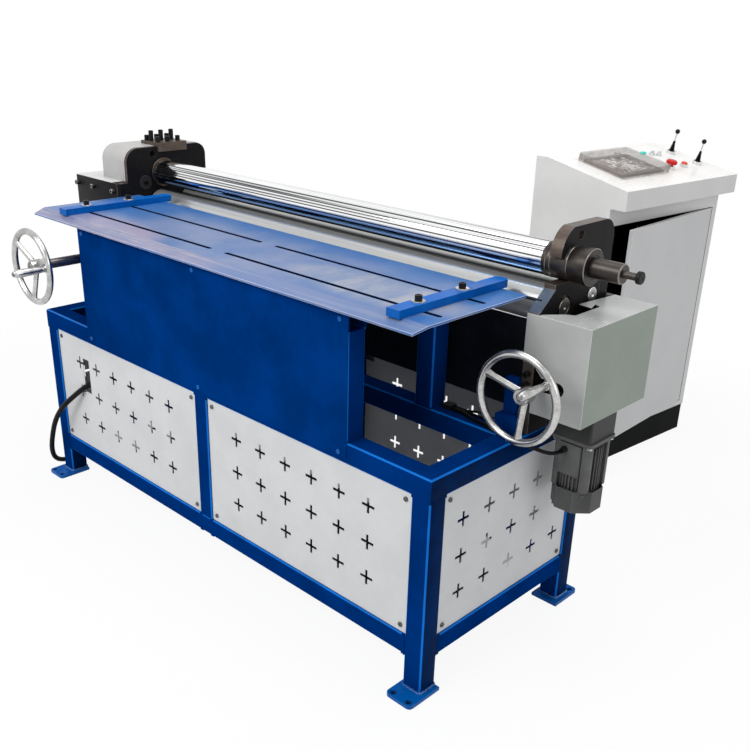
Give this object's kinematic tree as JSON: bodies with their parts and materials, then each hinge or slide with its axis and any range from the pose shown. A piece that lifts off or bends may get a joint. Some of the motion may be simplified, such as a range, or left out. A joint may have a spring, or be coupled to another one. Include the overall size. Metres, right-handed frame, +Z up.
{
  "type": "oval duct rolling machine",
  "caption": "Motor driven sheet roller on a square tube stand with slotted feed table, geared rolls, handwheel lift and separate desk console",
  "frame": {"origin": "centre of the rectangle of the four outer anchor holes, on the floor", "axes": "X along the rolls towards the motor end, Y from the feed table to the back, Z up"},
  "size_m": [2.203, 2.3791, 1.2098],
  "materials": {
    "blue_paint": "gloss",
    "table_paint": "gloss",
    "panel_white": "satin",
    "black_steel": "satin",
    "bed_steel": "satin",
    "cover_grey": "satin",
    "deck_grey": "satin",
    "chrome_roll": "polished",
    "satin_roll": "satin",
    "shaft_steel": "dark machined",
    "cast_bright": "polished casting",
    "gear_steel": "machined",
    "bush_metal": "dark oiled",
    "screw_black": "satin",
    "screw_bright": "satin",
    "motor_grey": "satin",
    "gearbox_grey": "satin",
    "black_plastic": "matte",
    "black_rubber": "matte",
    "console_paint": "satin",
    "plinth_black": "satin",
    "clear_plastic": "clear",
    "screen_frame": "gloss",
    "lamp_cyan": "gloss",
    "stop_red": "gloss",
    "push_orange": "gloss",
    "bezel_silver": "satin"
  },
  "bodies": {
    "frame": {"base_rails": "blue_paint", "base_posts": "blue_paint", "foot_plates": "blue_paint", "front_panels": "panel_white", "side_panels": "panel_white", "back_panels": "panel_white", "panel_fixings": "screw_bright", "front_cover": "table_paint", "table_uprights": "blue_paint", "feed_table": "table_paint", "side_plate_left": "black_steel", "side_plate_right": "black_steel", "cross_members": "bed_steel", "gear_plates": "black_steel", "gear_cover": "deck_grey", "clamp_plate": "screw_black", "cap_screws": "screw_black", "roll_bushes": "bush_metal", "lift_housings": "black_steel", "right_cover": "cover_grey", "gearbox": "gearbox_grey", "motor_body": "motor_grey", "fan_cover": "motor_grey", "wiring_fittings": "black_plastic", "frame_cables": "black_rubber", "mains_cable": "black_rubber", "mains_coil": "black_rubber", "mains_plug": "push_orange", "console_body": "console_paint", "console_plinth": "plinth_black", "touch_panel": "screen_frame", "control_bezels": "bezel_silver", "indicator_lamp": "lamp_cyan"},
    "front_roll_set": {"front_roll": "satin_roll", "front_roll_gear": "gear_steel"},
    "top_roll_set": {"top_roll": "chrome_roll", "top_roll_gear": "gear_steel"},
    "idler_set": {"idler_gear": "gear_steel"},
    "drive_set": {"drive_shaft": "gear_steel"},
    "fan_set": {"motor_fan": "black_plastic"},
    "lift_blocks": {"rear_roll_blocks": "black_steel"},
    "rear_roll_set": {"rear_roll": "chrome_roll"},
    "right_wheel": {"handwheel_right": "cast_bright"},
    "right_crank": {"crank_handle_right": "cast_bright"},
    "left_wheel": {"handwheel_left": "cast_bright"},
    "left_crank": {"crank_handle_left": "cast_bright"},
    "cross_drive": {"cross_shaft": "gear_steel"},
    "guide_left": {"guide_bar_left": "table_paint", "guide_clamps_left": "screw_bright"},
    "guide_right": {"guide_bar_right": "table_paint", "guide_clamps_right": "screw_bright"},
    "sleeve": {"release_sleeve": "shaft_steel"},
    "door": {"console_door": "console_paint"},
    "lid": {"clear_lid": "clear_plastic"},
    "lever_left": {"joystick_left": "black_rubber"},
    "lever_right": {"joystick_right": "black_rubber"},
    "stop": {"stop_button": "stop_red"},
    "push": {"push_button": "push_orange"},
    "switch_left": {"selector_left": "black_plastic"},
    "switch_right": {"selector_right": "black_plastic"}
  },
  "joints": [
    {"name": "front_roll_turn", "type": "hinge", "parent": "frame", "child": "front_roll_set", "pos_m": [0, 0.1555, 0.938], "axis": [1, 0, 0], "continuous": true},
    {"name": "top_roll_turn", "type": "hinge", "parent": "frame", "child": "top_roll_set", "pos_m": [0, 0.17256, 1.04697], "axis": [1, 0, 0], "continuous": true},
    {"name": "idler_turn", "type": "hinge", "parent": "frame", "child": "idler_set", "pos_m": [-0.947, 0.1555, 0.8077], "axis": [1, 0, 0], "continuous": true},
    {"name": "drive_turn", "type": "hinge", "parent": "frame", "child": "drive_set", "pos_m": [0, 0.1555, 0.6874], "axis": [1, 0, 0], "continuous": true},
    {"name": "fan_turn", "type": "hinge", "parent": "frame", "child": "fan_set", "pos_m": [0.976, 0.1735, 0.45], "axis": [0, 0, 1], "continuous": true},
    {"name": "right_wheel_turn", "type": "hinge", "parent": "frame", "child": "right_wheel", "pos_m": [0.918, -0.0275, 0.762], "axis": [0, 1, 0], "range_deg": [-900, 900]},
    {"name": "left_wheel_turn", "type": "hinge", "parent": "frame", "child": "left_wheel", "pos_m": [-0.641, -0.4585, 0.845], "axis": [0, 1, 0], "range_deg": [-900, 900]},
    {"name": "cross_shaft_turn", "type": "hinge", "parent": "frame", "child": "cross_drive", "pos_m": [-0.797, 0.2965, 0.819], "axis": [1, 0, 0], "range_deg": [-900, 900]},
    {"name": "rear_roll_lift", "type": "slide", "parent": "frame", "child": "lift_blocks", "axis": [0, 0, 1], "range_m": [-0.03, 0.03]},
    {"name": "rear_roll_turn", "type": "hinge", "parent": "lift_blocks", "child": "rear_roll_set", "pos_m": [0, 0.2775, 0.948], "axis": [1, 0, 0], "continuous": true},
    {"name": "right_crank_spin", "type": "hinge", "parent": "right_wheel", "child": "right_crank", "pos_m": [0.99647, -0.1175, 0.81902], "axis": [0, 1, 0], "continuous": true},
    {"name": "left_crank_spin", "type": "hinge", "parent": "left_wheel", "child": "left_crank", "pos_m": [-0.54494, -0.5325, 0.8585], "axis": [0, 1, 0], "continuous": true},
    {"name": "left_guide_slide", "type": "slide", "parent": "frame", "child": "guide_left", "axis": [1, 0, 0], "range_m": [-0.07, 0.65]},
    {"name": "right_guide_slide", "type": "slide", "parent": "frame", "child": "guide_right", "axis": [1, 0, 0], "range_m": [-0.665, 0.058]},
    {"name": "release_sleeve_slide", "type": "slide", "parent": "frame", "child": "sleeve", "axis": [1, 0, 0], "range_m": [0, 0.06]},
    {"name": "door_swing", "type": "hinge", "parent": "frame", "child": "door", "pos_m": [0.51351, 1.72992, 0.5], "axis": [0, 0, 1], "range_deg": [-7, 80]},
    {"name": "lid_swing", "type": "hinge", "parent": "frame", "child": "lid", "pos_m": [0.24288, 1.33178, 1.1318], "axis": [-0.0948, -0.9955, 0], "range_deg": [0, 105]},
    {"name": "left_lever_tilt", "type": "hinge", "parent": "frame", "child": "lever_left", "pos_m": [0.32855, 1.70735, 1.12725], "axis": [0.0948, 0.9955, 0], "range_deg": [-20, 20], "stiffness_Nm_per_rad": 0.6},
    {"name": "right_lever_tilt", "type": "hinge", "parent": "frame", "child": "lever_right", "pos_m": [0.44734, 1.69303, 1.10325], "axis": [0.0948, 0.9955, 0], "range_deg": [-20, 20], "stiffness_Nm_per_rad": 0.6},
    {"name": "stop_press", "type": "slide", "parent": "frame", "child": "stop", "axis": [0.1958, -0.0186, 0.9805], "range_m": [-0.005, 0]},
    {"name": "push_press", "type": "slide", "parent": "frame", "child": "push", "axis": [0.1958, -0.0186, 0.9805], "range_m": [-0.004, 0], "stiffness_N_per_m": 500, "springref_m": 0.004},
    {"name": "left_switch_turn", "type": "hinge", "parent": "frame", "child": "switch_left", "pos_m": [0.31027, 1.59257, 1.12637], "axis": [0.1958, -0.0186, 0.9805], "range_deg": [-45, 45]},
    {"name": "right_switch_turn", "type": "hinge", "parent": "frame", "child": "switch_right", "pos_m": [0.32463, 1.61933, 1.12401], "axis": [0.1958, -0.0186, 0.9805], "range_deg": [-45, 45]}
  ],
  "couplings": [
    {"joint": "top_roll_turn", "follows": "front_roll_turn", "ratio": -1.2},
    {"joint": "idler_turn", "follows": "front_roll_turn", "ratio": -0.85714},
    {"joint": "drive_turn", "follows": "front_roll_turn", "ratio": 1.2},
    {"joint": "fan_turn", "follows": "front_roll_turn", "ratio": 12},
    {"joint": "left_wheel_turn", "follows": "right_wheel_turn", "ratio": 1},
    {"joint": "cross_shaft_turn", "follows": "right_wheel_turn", "ratio": 1},
    {"joint": "rear_roll_lift", "follows": "right_wheel_turn", "m_per_rad": 0.0019099}
  ]
}
